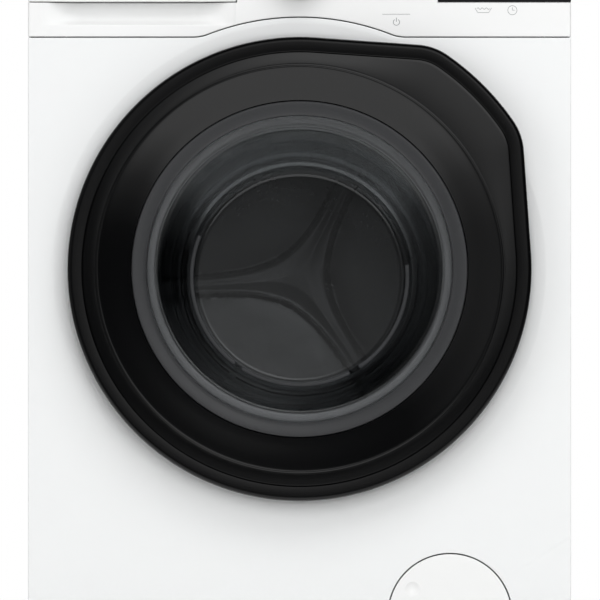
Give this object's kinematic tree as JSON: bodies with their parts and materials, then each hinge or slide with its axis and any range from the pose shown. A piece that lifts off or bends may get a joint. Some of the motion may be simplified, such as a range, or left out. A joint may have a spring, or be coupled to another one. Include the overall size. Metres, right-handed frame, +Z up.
{
  "type": "front load washing machine",
  "caption": "Free-standing front load washing machine with a round porthole door, detergent drawer, programme knob, sprung tub and belt driven drum.",
  "frame": {"origin": "middle of the footprint, on the floor under the feet", "axes": "+Z up, +X to the right seen from the front, -Y out of the door"},
  "size_m": [0.597, 0.64, 0.85],
  "materials": {
    "white_enamel": "satin white stove enamel",
    "white_plastic": "white moulded plastic, satin gloss",
    "worktop_board": "white laminate over board",
    "black_gloss": "polished black",
    "tinted_cover": "polished smoke grey",
    "window_ring_grey": "satin dark grey ring",
    "frame_grey": "moulded grey",
    "bowl_glass": "clear pressed glass, faint grey tint",
    "drum_steel": "perforated stainless steel",
    "zinc_steel": "galvanised sheet",
    "cast_aluminium": "as cast",
    "silver_plastic": "silver coated plastic",
    "bright_steel": "ground steel",
    "tub_resin": "glass filled plastic, light grey",
    "paddle_resin": "smooth grey plastic",
    "dark_resin": "dark moulded plastic",
    "gasket_rubber": "soft grey rubber",
    "belt_rubber": "ribbed black rubber",
    "foot_rubber": "hard black rubber",
    "concrete": "cast concrete"
  },
  "bodies": {
    "cabinet": {"front_panel": "white_enamel", "fascia": "white_plastic", "left_side_panel": "white_enamel", "right_side_panel": "white_enamel", "rear_panel": "zinc_steel", "rear_access_cover": "zinc_steel", "base_tray": "tub_resin", "worktop": "worktop_board", "worktop_trim": "white_plastic", "display_window": "black_gloss", "control_board": "dark_resin", "drawer_housing": "tub_resin", "inlet_valve": "tub_resin", "drain_outlet": "dark_resin", "cord_gland": "dark_resin", "pump_housing": "tub_resin", "damper_cylinder_left": "dark_resin", "damper_cylinder_right": "dark_resin", "hinge_bracket": "zinc_steel", "door_lock": "dark_resin", "door_gasket": "gasket_rubber", "suspension_spring_left": "bright_steel", "suspension_spring_right": "bright_steel"},
    "door": {"door_bezel": "black_gloss", "door_cover": "tinted_cover", "door_window_ring": "window_ring_grey", "door_glass": "bowl_glass", "door_inner_frame": "frame_grey", "door_hinge_arm": "zinc_steel"},
    "hook": {"door_hook": "bright_steel"},
    "drawer": {"drawer_front": "white_plastic", "drawer_tray": "tub_resin"},
    "knob": {"program_knob": "silver_plastic"},
    "power_button": {"power_button": "silver_plastic"},
    "start_button": {"start_button": "silver_plastic"},
    "flap": {"filter_flap": "white_plastic"},
    "filter": {"drain_filter": "dark_resin"},
    "tub": {"tub_front": "tub_resin", "tub_rear": "tub_resin", "heater": "bright_steel", "front_counterweight": "concrete", "top_counterweight": "concrete", "bearing_front": "bright_steel", "bearing_rear": "bright_steel", "motor_body": "cast_aluminium", "drive_belt": "belt_rubber", "damper_rod_left": "bright_steel", "damper_rod_right": "bright_steel"},
    "drum": {"drum_shell": "drum_steel", "drum_front_ring": "drum_steel", "drum_spider": "cast_aluminium", "drum_pulley": "cast_aluminium", "drum_paddle_1": "paddle_resin", "drum_paddle_2": "paddle_resin", "drum_paddle_3": "paddle_resin"},
    "motor": {"motor_pulley": "bright_steel"},
    "foot_front_left": {"foot_front_left": "foot_rubber"},
    "foot_front_right": {"foot_front_right": "foot_rubber"},
    "foot_rear_left": {"foot_rear_left": "foot_rubber"},
    "foot_rear_right": {"foot_rear_right": "foot_rubber"}
  },
  "joints": [
    {"name": "door_hinge", "type": "hinge", "parent": "cabinet", "child": "door", "pos_m": [-0.243, -0.303, 0.444], "axis": [0, 0, -1], "range_deg": [0, 165]},
    {"name": "hook_pivot", "type": "hinge", "parent": "door", "child": "hook", "pos_m": [0.2055, -0.2798, 0.444], "axis": [0, 0, -1], "range_deg": [0, 10], "stiffness_Nm_per_rad": 0.5, "springref_deg": -2.86},
    {"name": "drawer_slide", "type": "slide", "parent": "cabinet", "child": "drawer", "axis": [0, -1, 0], "range_m": [0, 0.2]},
    {"name": "knob_turn", "type": "hinge", "parent": "cabinet", "child": "knob", "pos_m": [0, -0.29, 0.775], "axis": [0, -1, 0], "continuous": true},
    {"name": "power_press", "type": "slide", "parent": "cabinet", "child": "power_button", "axis": [0, 1, 0], "range_m": [0, 0.0025], "stiffness_N_per_m": 600, "springref_m": -0.001},
    {"name": "start_press", "type": "slide", "parent": "cabinet", "child": "start_button", "axis": [0, 1, 0], "range_m": [0, 0.0025], "stiffness_N_per_m": 600, "springref_m": -0.001},
    {"name": "flap_hinge", "type": "hinge", "parent": "cabinet", "child": "flap", "pos_m": [0.1654, -0.2805, 0.033], "axis": [1, 0, 0], "range_deg": [0, 95]},
    {"name": "filter_turn", "type": "hinge", "parent": "cabinet", "child": "filter", "pos_m": [0.1654, -0.262, 0.08], "axis": [0, 1, 0], "range_deg": [0, 90]},
    {"name": "tub_travel", "type": "slide", "parent": "cabinet", "child": "tub", "axis": [0, 0, 1], "range_m": [-0.01, 0.01], "stiffness_N_per_m": 16000, "springref_m": 0.02337, "deforming": ["suspension_spring_left", "suspension_spring_right", "door_gasket"]},
    {"name": "drum_spin", "type": "hinge", "parent": "tub", "child": "drum", "pos_m": [0, 0, 0.434], "axis": [0, 1, 0], "continuous": true},
    {"name": "motor_spin", "type": "hinge", "parent": "tub", "child": "motor", "pos_m": [0, 0.21, 0.112], "axis": [0, 1, 0], "continuous": true},
    {"name": "foot_front_left_turn", "type": "hinge", "parent": "cabinet", "child": "foot_front_left", "pos_m": [-0.255, -0.215, 0.02], "axis": [0, 0, 1], "continuous": true},
    {"name": "foot_front_right_turn", "type": "hinge", "parent": "cabinet", "child": "foot_front_right", "pos_m": [0.255, -0.215, 0.02], "axis": [0, 0, 1], "continuous": true},
    {"name": "foot_rear_left_turn", "type": "hinge", "parent": "cabinet", "child": "foot_rear_left", "pos_m": [-0.255, 0.25, 0.02], "axis": [0, 0, 1], "continuous": true},
    {"name": "foot_rear_right_turn", "type": "hinge", "parent": "cabinet", "child": "foot_rear_right", "pos_m": [0.255, 0.25, 0.02], "axis": [0, 0, 1], "continuous": true}
  ],
  "couplings": [
    {"joint": "motor_spin", "follows": "drum_spin", "ratio": 11.667}
  ]
}
